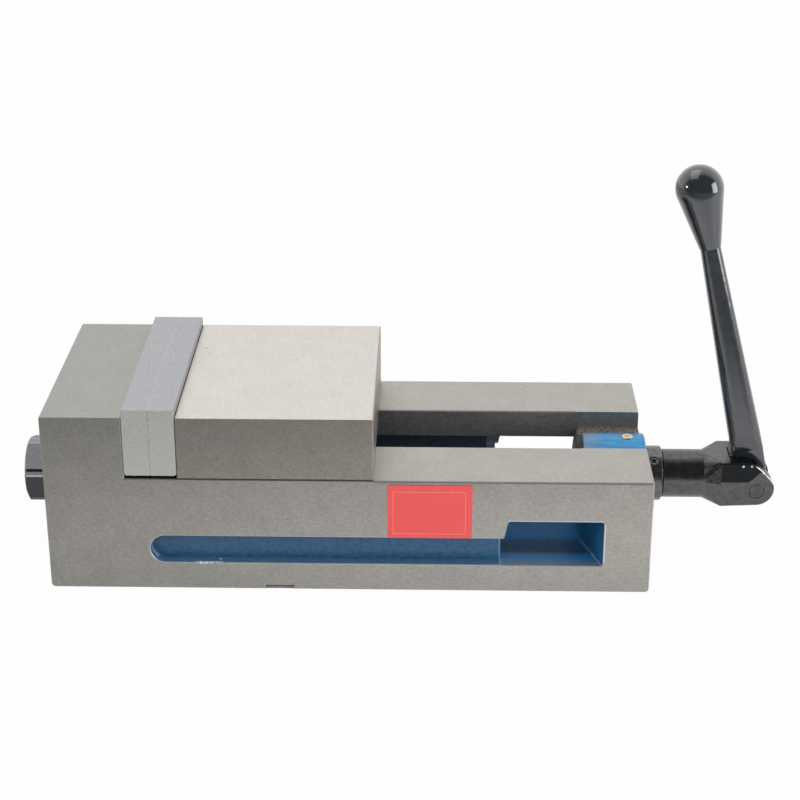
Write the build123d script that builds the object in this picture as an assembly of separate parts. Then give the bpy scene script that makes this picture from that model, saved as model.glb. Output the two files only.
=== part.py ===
from build123d import *
from math import cos, radians, sin, tan
import os

# Precision milling vise with 160 mm jaws, an angle-lock moving jaw and a folding crank handle.
# Millimetres. The origin is the centre of the base, +Z is up, +X points to the handle,
# and -Y is the side that carries the label.

# Body casting
jaw_width = 160.0
jaw_height = 41.5
fixed_jaw_length = 51.25
floor_thickness = 16.0
edge_break = 0.7
foot_break = 1.5
rim_break = 0.35
fine_break = 0.4

# Channel between the rails, and the wider cavity that is cored under them
channel_width = 58.0
channel_lead = 6.25
rail_depth = 18.6
rail_taper = 7.0
side_wall = 16.0
core_radius = 7.0

# Cross bridge that carries the handle end of the screw
bridge_length = 42.5
bridge_drop = 11.0
bridge_radius = 3.0
bridge_half_width = 40.6
bridge_slant = 12.5
hump_radius = 26.3
hump_setback = 3.0
boss_proud = 1.5

# Clamp grooves and side windows
groove_bottom = 19.0
groove_height = 18.8
groove_depth = 8.0
groove_inset = 65.4
groove_end_radius = 3.0
window_length = 65.5
window_headroom = 2.4
window_step = 2.1
window_slant = 2.7
window_radius = 2.2

# Keyway across the base
key_width = 18.0
key_depth = 3.0
key_offset = 44.5

# Jaw plates and their screws
plate_thickness = 16.5
plate_lift = 2.0
plate_proud = 5.5
plate_corner = 1.2
plate_screw_spacing = 98.0
plate_screw_rise = 24.0
cap_head_radius = 9.0
cap_head_height = 12.0
cap_shank_radius = 6.0
cap_shank_length = 28.0
cap_socket = 10.0
cap_socket_depth = 6.0
cap_recess = 0.5
tap_depth = 32.0

# Moving jaw, with the tongue that fits between the rails
moving_jaw_length = 123.75
jaw_travel = 150.0
tongue_depth = 12.0
tongue_setback = 1.0
tongue_short = 20.0
tongue_room = 1.5

# Angle lock: the nut's horn, the half ball under it, and their pocket in the jaw
lock_angle = 45.0
lock_ball_radius = 13.0
lock_ball_above_bed = 3.0
lock_ball_from_face = 40.75
horn_width = 38.0
horn_thickness = 24.0
horn_above_bed = 18.0
horn_flat_height = 10.0
horn_flat_drop = 8.0
horn_foot_share = 0.7
pocket_above_bed = 22.0
pocket_room = 5.7
web_gap = 0.7

# Lead screw and nut
screw_radius = 12.5
screw_lead = 5.0
neck_radius = 10.0
neck_room = 2.0
screw_point = 1.5
nut_length = 54.0
nut_wall = 9.5
nut_crown = 5.75
nut_wing_depth = 11.0
nut_from_lock = 3.0
room_over_nut = 1.0
room_under_nut = 8.75
end_hex = 19.0
end_hex_length = 20.5
relief_width = 1.2 * screw_lead
relief_depth = 2.2

# Thrust bearing and its nut at the fixed jaw end
bearing_radius = 18.0
washer_thickness = 3.0
roller_radius = 1.7
roller_length = 5.2
roller_count = 12
cage_thickness = 2.2
bearing_recess = 12.0
thrust_nut_flats = 41.0
thrust_nut_radius = 22.4
thrust_nut_length = 25.6
thrust_nut_turn = 16.0
thrust_nut_bevel = 1.7
thrust_nut_crown = 3.0
spigot_step = 1.5

# Bush, seal, ring and oiler at the handle end
bush_wall = 4.5
seal_step = 1.5
seal_thickness = 5.0
seal_round = 1.2
ring_wall = 5.7
ring_length = 11.2
oiler_from_end = 10.0
oiler_facing = 0.4
oiler_cap_radius = 3.9
oiler_cap_height = 0.9
oiler_barrel_radius = 3.0
oiler_barrel_length = 7.6
oiler_ball_radius = 1.6
oiler_mouth_radius = 1.3
oiler_lip = 0.4
oiler_wall = 0.8
oil_way_radius = 1.0
spring_wire = 0.22
spring_turns = 4
spring_inset = 0.55

# Handle hub
hub_radius = 16.1
hub_length = 27.3
hub_flare = 11.2
clevis_width = 36.2
clevis_height = 31.6
clevis_round = 1.2
clevis_from_hub = 34.5
nose_radius = 11.6
nose_lift = 1.0
nose_angle = 45.0
nose_blend = 17.0
slot_floor = 17.9
pin_radius = 5.15
pin_below_nose = 1.3
socket_room = 0.5

# Handle arm and its ball grip
arm_lean = 13.3
arm_thickness = 14.6
arm_swell = 17.6
arm_base_width = 20.8
arm_neck_width = 13.0
arm_edge_round = 3.0
arm_swell_round = 7.0
arm_neck_round = 5.5
arm_eye_radius = 9.4
arm_tongue = 25.0
arm_shoulder = 40.0
arm_heel_height = 16.5
arm_heel_land = 6.0
arm_heel_end = 33.0
arm_heel_sink = 1.5
arm_heel_edge = 1.2
neck_from_pin = 169.0
grip_neck_radius = 7.1
ball_radius = 15.3
ball_from_pin = 208.4

# Small screws that lock the round pieces
grub_radius = 3.0
grub_length = 5.0
grub_socket = 3.0
grub_sink = 1.0
grub_point_share = 0.3
jaw_grub_radius = 5.0
jaw_grub_length = 24.0
jaw_grub_socket = 5.0
ring_grub_angle = 52.0
nut_grub_angle = thrust_nut_turn + 150.0
hub_grub_angle = 150.0

# Label plate on the near side
label_length = 53.4
label_thickness = 0.5
label_corner = 0.8
label_from_window = 18.4
label_above_groove = 0.4
label_below_bed = 2.8

# Clearances, and how far a cut runs past the face that it opens
seat_gap = 0.02
running_gap = 0.05
free_gap = 0.3
side_gap = 0.2
overshoot = 1.0

# Lengths that follow from the others
jaws_length = fixed_jaw_length + 2 * plate_thickness + moving_jaw_length - tongue_short
bridge_end_length = tongue_room + seal_thickness - hump_setback + bridge_length
body_length = jaws_length + jaw_travel + bridge_end_length
nut_radius = screw_radius + nut_wall
seal_radius = hump_radius - seal_step
ring_radius = screw_radius + ring_wall

# Places along X that several pieces share
left_end = -body_length / 2
right_end = body_length / 2
fixed_face = left_end + fixed_jaw_length
plates_meet = fixed_face + plate_thickness
moving_face = plates_meet + plate_thickness
jaw_rear = moving_face + moving_jaw_length
tongue_rear = jaw_rear - tongue_short
lock_x = moving_face + lock_ball_from_face
nut_left = lock_x + nut_from_lock
nut_right = nut_left + nut_length
channel_start = moving_face - channel_lead
bridge_face = right_end - bridge_length
bush_left = bridge_face + hump_setback
seal_left = bush_left - seal_thickness
boss_end = right_end + boss_proud
window_left = bridge_face + bridge_slant - window_length
ring_left = boss_end + free_gap
hub_left = ring_left + ring_length + free_gap
clevis_left = hub_left + hub_length + hub_flare
pin_x = hub_left + hub_length + clevis_from_hub
clevis_right = pin_x + nose_radius
bearing_floor = left_end + bearing_recess

# Places in Z and Y that several pieces share
screw_height = floor_thickness + room_under_nut + nut_radius
wing_top = screw_height + screw_radius + nut_crown
tongue_bottom = wing_top + room_over_nut
bed_height = tongue_bottom + tongue_depth
jaw_top = bed_height + jaw_height
plate_bottom = bed_height + plate_lift
plate_top = jaw_top + plate_proud
plate_screw_z = bed_height + plate_screw_rise
bridge_top = bed_height - bridge_drop
rail_bottom = bed_height - rail_depth
groove_top = groove_bottom + groove_height
window_top = rail_bottom - rail_taper - window_headroom
nose_z = screw_height - clevis_height / 2 + nose_lift + nose_radius
pin_z = nose_z - pin_below_nose
half_width = jaw_width / 2
half_channel = channel_width / 2
half_cavity = half_width - side_wall


# Builders that several pieces use
def along_x(radius, x_from, x_to, y=0.0, z=screw_height):
    """A round bar parallel to X."""
    bar = Plane(origin=(x_from, y, z), z_dir=(1, 0, 0)) * Circle(radius)
    return extrude(bar, x_to - x_from)


def ring_along_x(outer, inner, x_from, x_to):
    """A round ring on the screw's axis."""
    return along_x(outer, x_from, x_to) - along_x(inner, x_from, x_to)


def prism_xz(points, y_from, y_to):
    """A polygon in X and Z, extruded from one Y to another."""
    face = Plane.XZ * make_face(Polyline(*points, close=True))
    return Pos(0, y_to, 0) * extrude(face, y_to - y_from)


def block(x_from, x_to, y_from, y_to, z_from, z_to):
    """A block between two opposite corners."""
    size = (x_to - x_from, y_to - y_from, z_to - z_from)
    corner = (Align.MIN, Align.MIN, Align.MIN)
    return Pos(x_from, y_from, z_from) * Box(*size, align=corner)


def standing(radius, length):
    """A round bar that stands on the origin."""
    return Cylinder(radius, length, align=(Align.CENTER, Align.CENTER, Align.MIN))


def near_plane(edges, axis, place):
    """The edges whose middle lies on the plane at this place along the axis."""
    return edges.filter_by_position(axis, place - running_gap, place + running_gap)


def both_sides(shape):
    """A cut or a piece, and its mirror image across the vise."""
    return shape + mirror(shape, about=Plane.XZ)


def hexagon_along_x(flats, x_from, x_to, turn=0.0):
    """A hexagonal bar on the screw's axis, with a corner at the turn angle above -Y."""
    section = Rot(0, 0, -turn) * RegularPolygon(flats / 2, 6, major_radius=False)
    bar = Plane(origin=(x_from, 0, screw_height), x_dir=(0, 1, 0), z_dir=(1, 0, 0)) * section
    return extrude(bar, x_to - x_from)


def grub_screw(radius, length, socket):
    """A set screw standing on its point at the origin, with a hexagon socket on top."""
    body = standing(radius, length)
    body = chamfer(body.edges().group_by(Axis.Z)[0], grub_point_share * radius)
    well = extrude(RegularPolygon(socket / 2, 6, major_radius=False), length / 2)
    return body - Pos(0, 0, length / 2) * well


def radial(shape, x, radius, angle):
    """Stands a shape on a round piece of the screw, pointing out at an angle above -Y."""
    outward = (0, -cos(radians(angle)), sin(radians(angle)))
    foot = (x, radius * outward[1], screw_height + radius * outward[2])
    return Plane(origin=foot, x_dir=(1, 0, 0), z_dir=outward) * shape


def grub_hole_along_radius(x, foot, angle):
    """The plain hole for a small set screw, from its foot out through the round piece."""
    return radial(standing(grub_radius + seat_gap, nut_radius), x, foot, angle)


# Body
def plan_of_cavity():
    """The outline of the cavity seen from above: its end wall slants out to each window."""
    reach = half_width + overshoot
    slope = bridge_slant / (half_width - bridge_half_width)
    corner = bridge_face + slope * (reach - bridge_half_width)
    points = [
        (channel_start, -reach),
        (corner, -reach),
        (bridge_face, -bridge_half_width),
        (bridge_face, bridge_half_width),
        (corner, reach),
        (channel_start, reach),
    ]
    return extrude(make_face(Polyline(*points, close=True)), bed_height)


def cored_channel():
    """The slot between the rails, wider below them, as one section swept along the bed."""
    above = bed_height + overshoot
    half = [
        (half_cavity, floor_thickness),
        (half_cavity, rail_bottom - rail_taper),
        (half_channel, rail_bottom),
        (half_channel, bed_height - edge_break),
        (half_channel + edge_break, bed_height),
        (half_channel + edge_break, above),
    ]
    points = half + [(-y, z) for y, z in reversed(half)]
    section = make_face(Polyline(*points, close=True))
    core_corners = [v for v in section.vertices() if v.Y < rail_bottom - overshoot]
    section = fillet(core_corners, core_radius)
    length = bridge_face + bridge_slant - channel_start
    swept = Pos(channel_start, 0, 0) * extrude(Plane.YZ * section, length)
    return swept & plan_of_cavity()


def window_cut():
    """One side window: its left edge steps in from the groove, then leans."""
    right = bridge_face + bridge_slant + overshoot
    points = [
        (window_left, groove_bottom),
        (right, groove_bottom),
        (right, window_top),
        (window_left + window_step + window_slant, window_top),
        (window_left + window_step, groove_top),
        (window_left, groove_top),
    ]
    cut = prism_xz(points, -half_width - overshoot, -half_cavity + core_radius)
    cut = cut & plan_of_cavity()
    end_wall = cut.faces().sort_by(Axis.X)[-1]
    corners = end_wall.edges().filter_by(Axis.Z, reverse=True)
    corners += near_plane(cut.edges().filter_by(Axis.Y), Axis.Z, window_top)
    return fillet(corners, window_radius)


def groove_cut():
    """One clamp groove, round at its blind end and open to the window at the other."""
    radius = groove_height / 2
    start = left_end + groove_inset
    middle = groove_bottom + radius
    outline = Pos(start + radius, middle) * Circle(radius)
    outline += Pos((start + radius + window_left) / 2, middle) * Rectangle(
        window_left - start - radius, groove_height
    )
    section = Plane.XZ * outline
    return Pos(0, -half_width + groove_depth, 0) * extrude(section, groove_depth + overshoot)


def rims_on_side(body, side):
    """The outline of a groove and its window on one outer side of the body."""
    edges = near_plane(body.edges(), Axis.Y, side)
    edges = edges.filter_by_position(Axis.X, left_end + groove_inset - overshoot, right_end - bridge_slant)
    return edges.filter_by_position(Axis.Z, groove_bottom - overshoot, window_top + overshoot)


def vise_body():
    profile = [
        (left_end, foot_break),
        (left_end + foot_break, 0),
        (right_end - foot_break, 0),
        (right_end, foot_break),
        (right_end, bed_height),
        (fixed_face, bed_height),
        (fixed_face, jaw_top),
        (left_end, jaw_top),
    ]
    body = prism_xz(profile, -half_width, half_width)
    root = near_plane(body.edges().filter_by(Axis.Y), Axis.X, fixed_face).sort_by(Axis.Z)[0]
    body = chamfer([edge for edge in body.edges() if edge != root], edge_break)

    # The bridge is lower than the rails, and its front edge is rounded
    ledge_end = right_end + overshoot
    ledge_top = bed_height + overshoot
    ledge = block(bridge_face, ledge_end, -half_channel, half_channel, bridge_top, ledge_top)
    body = body - ledge - cored_channel()
    front = near_plane(body.edges().filter_by(Axis.Y), Axis.X, bridge_face)
    body = fillet(near_plane(front, Axis.Z, bridge_top), bridge_radius)

    # Bearing hump over the screw, and its boss on the end face
    hump = along_x(hump_radius, bush_left, boss_end)
    body += chamfer(hump.edges(), edge_break)

    body -= both_sides(groove_cut()) + both_sides(window_cut())
    wall_ends = near_plane(body.edges().filter_by(Axis.Z), Axis.X, window_left)
    groove_back = half_width - groove_depth
    for side in (-groove_back, groove_back):
        body = fillet(near_plane(wall_ends, Axis.Y, side), groove_end_radius)
    for side in (-half_width, half_width):
        body = chamfer(rims_on_side(body, side), rim_break)

    # Bores: the screw's neck, the thrust bearing, the bush, the seal and the oiler
    outside_left = left_end - overshoot
    outside_right = boss_end + overshoot
    body -= along_x(neck_radius + free_gap, outside_left, channel_start + overshoot)
    body -= along_x(bearing_radius + free_gap, outside_left, bearing_floor)
    body -= along_x(screw_radius + bush_wall + seat_gap, bridge_face - overshoot, outside_right)
    body -= along_x(seal_radius + seat_gap, bridge_face - overshoot, bush_left)
    body -= oiler_bore()

    # Tapped holes for the jaw plate
    tap = cap_shank_radius + seat_gap
    for y, z in plate_screw_places():
        body -= along_x(tap, fixed_face - tap_depth, fixed_face + overshoot, y, z)

    reach = half_width + overshoot
    keyway = block(-key_width / 2, key_width / 2, -reach, reach, -overshoot, key_depth)
    return body - Pos(-key_offset, 0, 0) * keyway


# Jaws
def plate_screw_places():
    return [(y, plate_screw_z) for y in (-plate_screw_spacing / 2, plate_screw_spacing / 2)]


def jaw_plate(x_from, head_side):
    """A hardened plate with two counterbored holes; head_side is +1 or -1 along X."""
    x_to = x_from + plate_thickness
    open_face, seated_face = (x_to, x_from) if head_side > 0 else (x_from, x_to)
    profile = [
        (open_face, plate_bottom),
        (seated_face + head_side * plate_corner, plate_bottom),
        (seated_face, plate_bottom + plate_corner),
        (seated_face, plate_top),
        (open_face, plate_top),
    ]
    plate = prism_xz(profile, -half_width, half_width)
    plate = chamfer(plate.edges(), edge_break / 2)
    seat = open_face - head_side * (cap_head_height + cap_recess)
    for y, z in plate_screw_places():
        plate -= along_x(cap_shank_radius + free_gap, x_from - overshoot, x_to + overshoot, y, z)
        low, high = sorted((seat, open_face + head_side * overshoot))
        plate -= along_x(cap_head_radius + free_gap, low, high, y, z)
    return plate


def plate_screws(open_face, head_side):
    """Two socket cap screws, heads sunk in the plate's open face."""
    seat = open_face - head_side * (cap_head_height + cap_recess)
    top = open_face - head_side * cap_recess
    tip = seat - head_side * (plate_thickness - cap_head_height - cap_recess + cap_shank_length)
    screws = []
    for y, z in plate_screw_places():
        head = along_x(cap_head_radius, min(seat, top), max(seat, top), y, z)
        head = chamfer(head.edges().sort_by(Axis.X)[-1 if head_side > 0 else 0], edge_break)
        shank = along_x(cap_shank_radius, min(seat, tip), max(seat, tip), y, z)
        well = RegularPolygon(cap_socket / 2, 6, major_radius=False)
        well = Plane(origin=(top, y, z), z_dir=(-head_side, 0, 0)) * well
        screws.append(head + shank - extrude(well, cap_socket_depth))
    return Compound(screws)


def lock_point():
    """The middle of the half ball's flat face, in X and Z."""
    return lock_x, bed_height + lock_ball_above_bed


def on_lock_line(z, offset):
    """X at height z on a line that leans with the lock, offset along its normal."""
    x0, z0 = lock_point()
    lean = radians(lock_angle)
    return x0 + offset / sin(lean) - (z - z0) / tan(lean)


def lock_pocket():
    """The leaning pocket in the jaw that drops over the nut's horn."""
    low = tongue_bottom - overshoot
    high = bed_height + pocket_above_bed
    far = horn_thickness + pocket_room
    points = [
        (on_lock_line(low, -web_gap), low),
        (on_lock_line(high, -web_gap), high),
        (on_lock_line(high, far), high),
        (on_lock_line(low, far), low),
    ]
    reach = horn_width / 2 + side_gap
    return prism_xz(points, -reach, reach)


def half_ball(radius):
    """The half of a ball below the lock's leaning face."""
    x0, z0 = lock_point()
    outward = (sin(radians(lock_angle)), 0, cos(radians(lock_angle)))
    half_space = Pos(0, 0, -radius) * Box(4 * radius, 4 * radius, 2 * radius)
    return Pos(x0, 0, z0) * Sphere(radius) & Plane(origin=(x0, 0, z0), z_dir=outward) * half_space


def horn_flat_z():
    """The height of the jaw's set screw, at the middle of the flat that it bears on."""
    return bed_height + horn_above_bed - horn_flat_drop


def horn_flat_x():
    """The nut's upright flat that the jaw's set screw bears on."""
    return on_lock_line(horn_flat_z() + horn_flat_height / 2, horn_thickness)


def moving_jaw():
    jaw = block(moving_face, jaw_rear, -half_width, half_width, bed_height, jaw_top)
    jaw = chamfer(jaw.edges(), edge_break)
    reach = half_channel - side_gap
    tongue_left = moving_face + tongue_setback
    jaw += block(tongue_left, tongue_rear, -reach, reach, tongue_bottom, bed_height + overshoot)
    jaw -= lock_pocket()
    jaw -= half_ball(lock_ball_radius + seat_gap)
    behind = jaw_rear + overshoot
    jaw -= along_x(jaw_grub_radius + seat_gap, horn_flat_x(), behind, 0, horn_flat_z())
    tap = cap_shank_radius + seat_gap
    for y, z in plate_screw_places():
        jaw -= along_x(tap, moving_face - overshoot, moving_face + tap_depth, y, z)
    return jaw


def jaw_set_screw():
    """The set screw behind the horn, which takes the play out of the lock."""
    screw = grub_screw(jaw_grub_radius, jaw_grub_length, jaw_grub_socket)
    foot = (horn_flat_x() + seat_gap, 0, horn_flat_z())
    return Plane(origin=foot, z_dir=(1, 0, 0)) * screw


def screw_nut():
    """The nut: a round barrel on the screw, wings between the rails, and the leaning horn."""
    wing = half_channel - side_gap
    nut = along_x(nut_radius, nut_left, nut_right)
    nut += block(nut_left, nut_right, -nut_radius, nut_radius, screw_height, wing_top)
    nut -= block(
        nut_left - overshoot,
        nut_right + overshoot,
        -nut_radius,
        nut_radius,
        wing_top,
        wing_top + nut_radius,
    )
    nut += block(nut_left, nut_right, -wing, wing, wing_top - nut_wing_depth, wing_top)
    top = bed_height + horn_above_bed
    foot = wing_top - overshoot
    flat_low = horn_flat_z() - horn_flat_height / 2
    flat_high = horn_flat_z() + horn_flat_height / 2
    points = [
        (on_lock_line(foot, 0), foot),
        (on_lock_line(top, 0), top),
        (on_lock_line(top, horn_thickness), top),
        (horn_flat_x(), flat_high),
        (horn_flat_x(), flat_low),
        (on_lock_line(foot, horn_thickness * horn_foot_share), foot),
    ]
    horn = prism_xz(points, -horn_width / 2, horn_width / 2)
    bore = along_x(screw_radius + free_gap, nut_left - overshoot, nut_right + overshoot)
    return nut + horn - bore


# Screw, its bearings and what turns with it
def thread_end():
    """Where the thread stops, clear of the seal."""
    return bridge_face - relief_width


def lead_screw():
    nut_end = left_end - free_gap - thrust_nut_length
    profile = [
        (nut_end + neck_room, neck_radius),
        (channel_start + neck_room, neck_radius),
        (channel_start + neck_room, screw_radius),
        (thread_end() - relief_width, screw_radius),
        (thread_end() - relief_width, screw_radius - relief_depth),
        (thread_end(), screw_radius - relief_depth),
        (thread_end(), screw_radius),
        (hub_left, screw_radius),
        (hub_left, 0),
        (nut_end + neck_room, 0),
    ]
    face = make_face(Polyline(*[(x, r) for x, r in profile], close=True))
    bar = revolve(Plane.XZ * face, Axis.X)
    bar = Pos(0, 0, screw_height) * bar
    first = bar.edges().filter_by(GeomType.CIRCLE).sort_by(Axis.X)[0]
    bar = chamfer(first, screw_point)
    tail = hexagon_along_x(end_hex, hub_left, hub_left + end_hex_length)
    bar += chamfer(tail.edges().group_by(Axis.X)[-1], edge_break)
    dimple = grub_hole_along_radius(ring_left + ring_length / 2, ring_grub_foot(), ring_grub_angle)
    return bar - dimple


def ring_grub_foot():
    """How far from the axis the ring's set screw ends: a little below the screw's surface."""
    return ring_radius - grub_length - grub_sink


def thrust_nut():
    hexagon_end = left_end - free_gap
    outer_end = hexagon_end - thrust_nut_length
    nut = hexagon_along_x(thrust_nut_flats, outer_end, hexagon_end, thrust_nut_turn)
    turned = along_x(thrust_nut_radius, outer_end, hexagon_end)
    end_face = turned.faces().sort_by(Axis.X)[0]
    nut = nut & chamfer(end_face.edges(), thrust_nut_crown, thrust_nut_bevel, reference=end_face)
    spigot_end = bearing_floor - 2 * washer_thickness - roller_space()
    nut += along_x(bearing_radius - spigot_step, hexagon_end - overshoot, spigot_end)
    nut -= along_x(neck_radius + seat_gap, outer_end - overshoot, spigot_end + overshoot)
    return nut - grub_hole_along_radius(hexagon_end - thrust_nut_length / 2, neck_radius, nut_grub_angle)


def nut_set_screw():
    screw = grub_screw(grub_radius, grub_length, grub_socket)
    x = left_end - free_gap - thrust_nut_length / 2
    return radial(screw, x, neck_radius + seat_gap, nut_grub_angle)


def roller_space():
    """The room between the washers, a little more than a roller."""
    return 2 * (roller_radius + free_gap)


def washer(x_from, outer):
    disc = ring_along_x(outer, neck_radius + free_gap, x_from, x_from + washer_thickness)
    return chamfer(disc.edges(), fine_break)


def inner_washer():
    """Stays still against the floor of the recess."""
    return washer(bearing_floor - washer_thickness, bearing_radius)


def outer_washer():
    """Turns with the nut, which presses on it."""
    return washer(bearing_floor - 2 * washer_thickness - roller_space(), bearing_radius)


def roller_row(radius, length):
    """The rollers of the thrust bearing, each lying along a radius."""
    middle = bearing_floor - washer_thickness - roller_space() / 2
    start = (bearing_radius + neck_radius + free_gap - length) / 2
    first = Pos(middle, 0, screw_height + start) * standing(radius, length)
    axis = Axis((0, 0, screw_height), (1, 0, 0))
    return [first.rotate(axis, 360 * i / roller_count) for i in range(roller_count)]


def roller_cage():
    middle = bearing_floor - washer_thickness - roller_space() / 2
    cage = ring_along_x(
        bearing_radius - free_gap,
        neck_radius + 2 * free_gap,
        middle - cage_thickness / 2,
        middle + cage_thickness / 2,
    )
    for pocket in roller_row(roller_radius + seat_gap, roller_length + 2 * seat_gap):
        cage -= pocket
    return cage


def thrust_rollers():
    return Compound(roller_row(roller_radius, roller_length))


def screw_bush():
    bush = ring_along_x(screw_radius + bush_wall, screw_radius + running_gap, bush_left, boss_end)
    return bush - oil_way()


def dust_seal():
    seal = ring_along_x(seal_radius, screw_radius + free_gap, seal_left, bush_left)
    outer = seal.edges().filter_by(GeomType.CIRCLE).group_by(Axis.X)[0].sort_by(SortBy.RADIUS)[-1]
    return fillet(outer, seal_round)


def screw_ring():
    ring = ring_along_x(ring_radius, screw_radius + seat_gap, ring_left, ring_left + ring_length)
    rims = ring.edges().filter_by(GeomType.CIRCLE).sort_by(SortBy.RADIUS)[-2:]
    ring = chamfer(rims, edge_break)
    return ring - grub_hole_along_radius(ring_left + ring_length / 2, ring_grub_foot(), ring_grub_angle)


def ring_set_screw():
    screw = grub_screw(grub_radius, grub_length, grub_socket)
    return radial(screw, ring_left + ring_length / 2, ring_grub_foot() + seat_gap, ring_grub_angle)


# Ball oiler on the crest of the hump
def oiler_x():
    return right_end - oiler_from_end


def oiler_seat():
    """The small flat that is faced on the hump's crest."""
    return screw_height + hump_radius - oiler_facing


def oil_way():
    """The fine hole from the oiler down to the screw."""
    return Pos(oiler_x(), 0, screw_height) * standing(oil_way_radius, hump_radius)


def oiler_bore():
    cutter = standing(oiler_cap_radius + free_gap, oiler_facing + overshoot)
    drill = standing(oiler_barrel_radius + seat_gap, oiler_barrel_length + overshoot)
    spot_face = Pos(oiler_x(), 0, oiler_seat()) * cutter
    barrel = Pos(oiler_x(), 0, oiler_seat() - oiler_barrel_length) * drill
    return spot_face + barrel + oil_way()


def oiler_top():
    return oiler_seat() + oiler_cap_height


def ball_centre():
    """The ball stands up through the mouth as far as the mouth lets it."""
    mouth_floor = oiler_top() - oiler_lip
    return mouth_floor - (oiler_ball_radius**2 - oiler_mouth_radius**2) ** 0.5 - running_gap


def oiler_body():
    top = oiler_top()
    seat = oiler_seat()
    bottom = seat - oiler_barrel_length
    inside = oiler_ball_radius + running_gap
    profile = [
        (oiler_mouth_radius, top),
        (oiler_cap_radius - fine_break, top),
        (oiler_cap_radius, top - fine_break),
        (oiler_cap_radius, seat),
        (oiler_barrel_radius, seat),
        (oiler_barrel_radius, bottom),
        (oil_way_radius, bottom),
        (oil_way_radius, bottom + oiler_wall),
        (inside, bottom + oiler_wall),
        (inside, top - oiler_lip),
        (oiler_mouth_radius, top - oiler_lip),
    ]
    face = Plane.XZ * make_face(Polyline(*profile, close=True))
    return Pos(oiler_x(), 0, 0) * revolve(face, Axis.Z)


def oiler_ball():
    return Pos(oiler_x(), 0, ball_centre()) * Sphere(oiler_ball_radius)


def oiler_spring():
    """A fine compression spring between the oiler's floor and its ball."""
    low = oiler_seat() - oiler_barrel_length + oiler_wall + spring_wire
    high = ball_centre() - oiler_ball_radius - spring_wire
    radius = oiler_ball_radius - spring_inset
    path = Helix((high - low) / spring_turns, high - low, radius)
    wire = Plane(origin=path @ 0, z_dir=path % 0) * Circle(spring_wire)
    return Pos(oiler_x(), 0, low) * sweep(wire, path, is_frenet=True)


# Folding handle
def nearly_round(radius):
    """A circle made as a rounded square, so that it lofts evenly to the clevis."""
    return RectangleRounded(2 * radius, 2 * radius, radius - seat_gap)


def handle_hub():
    socket = along_x(hub_radius, hub_left, hub_left + hub_length)
    socket = chamfer(socket.edges().group_by(Axis.X)[0], edge_break)
    flare_start = hub_left + hub_length
    round_end = Plane(origin=(flare_start, 0, screw_height), x_dir=(0, 1, 0), z_dir=(1, 0, 0))
    square_end = Plane(origin=(clevis_left, 0, screw_height), x_dir=(0, 1, 0), z_dir=(1, 0, 0))
    sections = [
        round_end * nearly_round(hub_radius),
        square_end * RectangleRounded(clevis_width, clevis_height, clevis_round),
    ]
    hub = socket + loft(sections)

    # Clevis: flat sides, with a nose that is round below and slopes above
    low = screw_height - clevis_height / 2
    high = screw_height + clevis_height / 2
    touch_x = pin_x + nose_radius * cos(radians(nose_angle))
    touch_z = nose_z + nose_radius * sin(radians(nose_angle))
    top_x = touch_x - (high - touch_z) * tan(radians(nose_angle))
    corners = [
        (clevis_left, low),
        (pin_x, low + nose_lift),
        (pin_x, nose_z),
        (touch_x, touch_z),
        (top_x, high),
        (clevis_left, high),
    ]
    outline = make_face(Polyline(*corners, close=True))
    crown = outline.vertices().sort_by_distance((top_x, high))[0]
    outline = fillet(crown, nose_blend) + Pos(pin_x, nose_z) * Circle(nose_radius)
    ears = extrude(Plane.XZ * outline, clevis_width / 2, both=True)
    outer = ears.edges().filter_by_position(Axis.X, clevis_left + edge_break, clevis_right + edge_break)
    hub += chamfer(outer, edge_break)

    slot_half = arm_thickness / 2 + free_gap
    hub -= block(
        pin_x - slot_floor,
        clevis_right + overshoot,
        -slot_half,
        slot_half,
        low - overshoot,
        high + overshoot,
    )
    hub -= across(pin_radius + seat_gap, clevis_width + 2 * overshoot)
    socket_end = hub_left + end_hex_length + socket_room
    hub -= hexagon_along_x(end_hex + 2 * seat_gap, hub_left - overshoot, socket_end)
    return hub - grub_hole_along_radius(hub_left + hub_length / 2, end_hex / 2, hub_grub_angle)


def across(radius, length):
    """A round bar along the hinge pin's axis."""
    return Pos(pin_x, 0, pin_z) * Rot(90, 0, 0) * Cylinder(radius, length)


def hub_set_screw():
    screw = grub_screw(grub_radius, grub_length, grub_socket)
    return radial(screw, hub_left + hub_length / 2, end_hex / 2 + seat_gap, hub_grub_angle)


def hinge_pin():
    return chamfer(across(pin_radius, clevis_width).edges().filter_by(GeomType.CIRCLE), fine_break)


def heel_x(z):
    """The heel's land in the arm's own X: it stands upright when the arm leans on the slot's floor."""
    lean = radians(arm_lean)
    return (z * sin(lean) - slot_floor + free_gap) / cos(lean)


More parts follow.
